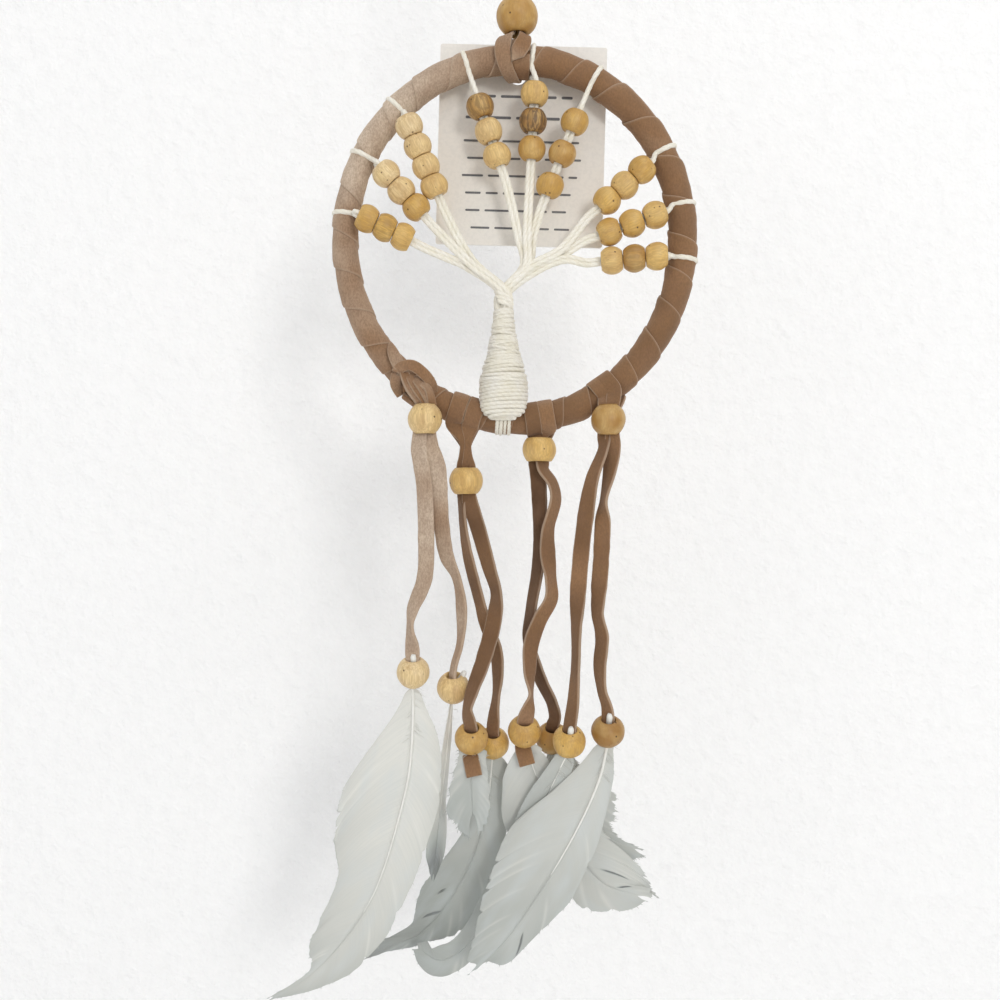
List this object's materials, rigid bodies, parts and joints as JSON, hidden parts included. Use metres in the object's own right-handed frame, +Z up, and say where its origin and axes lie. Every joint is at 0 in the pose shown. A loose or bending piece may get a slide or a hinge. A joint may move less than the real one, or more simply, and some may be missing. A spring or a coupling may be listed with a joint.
{
  "type": "dream catcher",
  "caption": "Hanging ornament: suede-wrapped hoop with a corded tree of wooden beads, a paper card, and folded suede laces that carry beads and white feathers.",
  "frame": {"origin": "top of the hanging loop, at the middle of the lace where a nail or hook holds it", "axes": "+Z up along the hanging direction, -Y out of the front of the hoop towards the viewer, +X to the viewer's right"},
  "size_m": [0.1266, 0.0255, 0.3608],
  "materials": {
    "suede": "matte napped suede",
    "wood_bead": "clear satin varnish",
    "cotton_cord": "twisted matte cotton",
    "rattan": "bare cane",
    "card": "thin satin laminate",
    "feather": "soft feather vane"
  },
  "bodies": {
    "hanger": {"hanger_lace": "suede"},
    "hanger_bead": {"hanger_bead": "wood_bead"},
    "hoop": {"hoop_core": "rattan", "hoop_wrap": "suede", "trunk_winding": "cotton_cord", "tree_cords": "cotton_cord"},
    "card": {"card": "card"},
    "tree_row_left_high": {"tree_bead_left_high_1": "wood_bead", "tree_bead_left_high_2": "wood_bead", "tree_bead_left_high_3": "wood_bead", "tree_bead_left_high_4": "wood_bead"},
    "tree_row_left_mid": {"tree_bead_left_mid_1": "wood_bead", "tree_bead_left_mid_2": "wood_bead", "tree_bead_left_mid_3": "wood_bead"},
    "tree_row_left_low": {"tree_bead_left_low_1": "wood_bead", "tree_bead_left_low_2": "wood_bead", "tree_bead_left_low_3": "wood_bead"},
    "tree_row_top_left": {"tree_bead_top_left_1": "wood_bead", "tree_bead_top_left_2": "wood_bead", "tree_bead_top_left_3": "wood_bead"},
    "tree_row_top_mid": {"tree_bead_top_mid_1": "wood_bead", "tree_bead_top_mid_2": "wood_bead", "tree_bead_top_mid_3": "wood_bead"},
    "tree_row_top_right": {"tree_bead_top_right_1": "wood_bead", "tree_bead_top_right_2": "wood_bead", "tree_bead_top_right_3": "wood_bead"},
    "tree_row_right_high": {"tree_bead_right_high_1": "wood_bead", "tree_bead_right_high_2": "wood_bead", "tree_bead_right_high_3": "wood_bead"},
    "tree_row_right_mid": {"tree_bead_right_mid_1": "wood_bead", "tree_bead_right_mid_2": "wood_bead", "tree_bead_right_mid_3": "wood_bead"},
    "tree_row_right_low": {"tree_bead_right_low_1": "wood_bead", "tree_bead_right_low_2": "wood_bead", "tree_bead_right_low_3": "wood_bead"},
    "pendant_1": {"lace_1": "suede"},
    "upper_bead_1": {"upper_bead_1": "wood_bead"},
    "tip_1a": {"end_bead_1a": "wood_bead", "feather_1a": "feather"},
    "tip_1b": {"end_bead_1b": "wood_bead", "feather_1b": "feather"},
    "pendant_2": {"lace_2": "suede"},
    "upper_bead_2": {"upper_bead_2": "wood_bead"},
    "tip_2a": {"end_bead_2a": "wood_bead", "feather_2a": "feather"},
    "tip_2b": {"end_bead_2b": "wood_bead", "feather_2b": "feather"},
    "pendant_3": {"lace_3": "suede"},
    "upper_bead_3": {"upper_bead_3": "wood_bead"},
    "tip_3a": {"end_bead_3a": "wood_bead", "feather_3a": "feather"},
    "tip_3b": {"end_bead_3b": "wood_bead", "feather_3b": "feather"},
    "pendant_4": {"lace_4": "suede"},
    "upper_bead_4": {"upper_bead_4": "wood_bead"},
    "tip_4a": {"end_bead_4a": "wood_bead", "feather_4a": "feather"},
    "tip_4b": {"end_bead_4b": "wood_bead", "feather_4b": "feather"}
  },
  "joints": [
    {"name": "hanger_bead_slide", "type": "slide", "parent": "hanger", "child": "hanger_bead", "axis": [0, 0, 1], "range_m": [0, 0.012]},
    {"name": "hoop_swing", "type": "hinge", "parent": "hanger", "child": "hoop", "pos_m": [0.0009, 0, -0.0815], "axis": [0, -1, 0], "range_deg": [-12, 12], "deforming": ["hanger_lace"]},
    {"name": "card_swing", "type": "hinge", "parent": "hoop", "child": "card", "pos_m": [0.0012, 0.0065, -0.0896], "axis": [0, -1, 0], "range_deg": [-10, 10]},
    {"name": "tree_row_left_high_slide", "type": "slide", "parent": "hoop", "child": "tree_row_left_high", "axis": [0.3895, 0.1372, -0.9107], "range_m": [-0.0003, 0.0008]},
    {"name": "tree_row_left_mid_slide", "type": "slide", "parent": "hoop", "child": "tree_row_left_mid", "axis": [0.6748, 0.1099, -0.7298], "range_m": [-0.0003, 0.0025]},
    {"name": "tree_row_left_low_slide", "type": "slide", "parent": "hoop", "child": "tree_row_left_low", "axis": [0.8924, 0.1767, -0.4153], "range_m": [-0.0002, 0.0025]},
    {"name": "tree_row_top_left_slide", "type": "slide", "parent": "hoop", "child": "tree_row_top_left", "axis": [0.3335, 0.0817, -0.9392], "range_m": [-0.002, 0.003]},
    {"name": "tree_row_top_mid_slide", "type": "slide", "parent": "hoop", "child": "tree_row_top_mid", "axis": [-0.0514, 0.0771, -0.9957], "range_m": [-0.001, 0.003]},
    {"name": "tree_row_top_right_slide", "type": "slide", "parent": "hoop", "child": "tree_row_top_right", "axis": [-0.3658, 0.0773, -0.9275], "range_m": [-0.002, 0.0025]},
    {"name": "tree_row_right_high_slide", "type": "slide", "parent": "hoop", "child": "tree_row_right_high", "axis": [-0.7551, 0.0906, -0.6494], "range_m": [-0.0003, 0.001]},
    {"name": "tree_row_right_mid_slide", "type": "slide", "parent": "hoop", "child": "tree_row_right_mid", "axis": [-0.9402, 0.0926, -0.3277], "range_m": [-0.0003, 0.002]},
    {"name": "tree_row_right_low_slide", "type": "slide", "parent": "hoop", "child": "tree_row_right_low", "axis": [-0.9884, 0.139, -0.0618], "range_m": [-0.0003, 0.002]},
    {"name": "lace_1_swing", "type": "hinge", "parent": "hoop", "child": "pendant_1", "pos_m": [-0.0257, -0.0067, -0.1932], "axis": [-1, 0, 0], "range_deg": [0, 30], "deforming": ["lace_1"]},
    {"name": "upper_bead_1_slide", "type": "slide", "parent": "pendant_1", "child": "upper_bead_1", "axis": [0, 0, -1], "range_m": [0, 0.005]},
    {"name": "tip_1a_swing", "type": "hinge", "parent": "pendant_1", "child": "tip_1a", "pos_m": [-0.0295, -0.002, -0.2668], "axis": [0, -1, 0], "range_deg": [-15, 4]},
    {"name": "tip_1b_swing", "type": "hinge", "parent": "pendant_1", "child": "tip_1b", "pos_m": [-0.018, 0.0024, -0.2721], "axis": [0, -1, 0], "range_deg": [-12, 3]},
    {"name": "lace_2_swing", "type": "hinge", "parent": "hoop", "child": "pendant_2", "pos_m": [-0.0141, 0, -0.1908], "axis": [1, 0, 0], "range_deg": [0, 30], "deforming": ["lace_2"]},
    {"name": "upper_bead_2_slide", "type": "slide", "parent": "pendant_2", "child": "upper_bead_2", "axis": [0, 0, 1], "range_m": [-0.004, 0.006]},
    {"name": "tip_2a_swing", "type": "hinge", "parent": "pendant_2", "child": "tip_2a", "pos_m": [-0.0062, 0.0037, -0.2888], "axis": [0, -1, 0], "range_deg": [-8, 6]},
    {"name": "tip_2b_swing", "type": "hinge", "parent": "pendant_2", "child": "tip_2b", "pos_m": [-0.0124, -0.0035, -0.2857], "axis": [0, -1, 0], "range_deg": [-6, 12]},
    {"name": "lace_3_swing", "type": "hinge", "parent": "hoop", "child": "pendant_3", "pos_m": [0.0074, 0, -0.1924], "axis": [1, 0, 0], "range_deg": [0, 30], "deforming": ["lace_3"]},
    {"name": "upper_bead_3_slide", "type": "slide", "parent": "pendant_3", "child": "upper_bead_3", "axis": [0, 0, -1], "range_m": [0, 0.005]},
    {"name": "tip_3a_swing", "type": "hinge", "parent": "pendant_3", "child": "tip_3a", "pos_m": [0.0114, 0.0045, -0.2875], "axis": [0, -1, 0], "range_deg": [-4, 8]},
    {"name": "tip_3b_swing", "type": "hinge", "parent": "pendant_3", "child": "tip_3b", "pos_m": [0.003, -0.0015, -0.2842], "axis": [0, -1, 0], "range_deg": [-4, 8]},
    {"name": "lace_4_swing", "type": "hinge", "parent": "hoop", "child": "pendant_4", "pos_m": [0.0271, -0.0062, -0.1934], "axis": [-1, 0, 0], "range_deg": [0, 30], "deforming": ["lace_4"]},
    {"name": "upper_bead_4_slide", "type": "slide", "parent": "pendant_4", "child": "upper_bead_4", "axis": [0, 0, -1], "range_m": [0, 0.005]},
    {"name": "tip_4a_swing", "type": "hinge", "parent": "pendant_4", "child": "tip_4a", "pos_m": [0.0159, -0.0045, -0.2864], "axis": [0, -1, 0], "range_deg": [-6, 5]},
    {"name": "tip_4b_swing", "type": "hinge", "parent": "pendant_4", "child": "tip_4b", "pos_m": [0.0273, -0.003, -0.2838], "axis": [0, -1, 0], "range_deg": [-3, 10]}
  ]
}
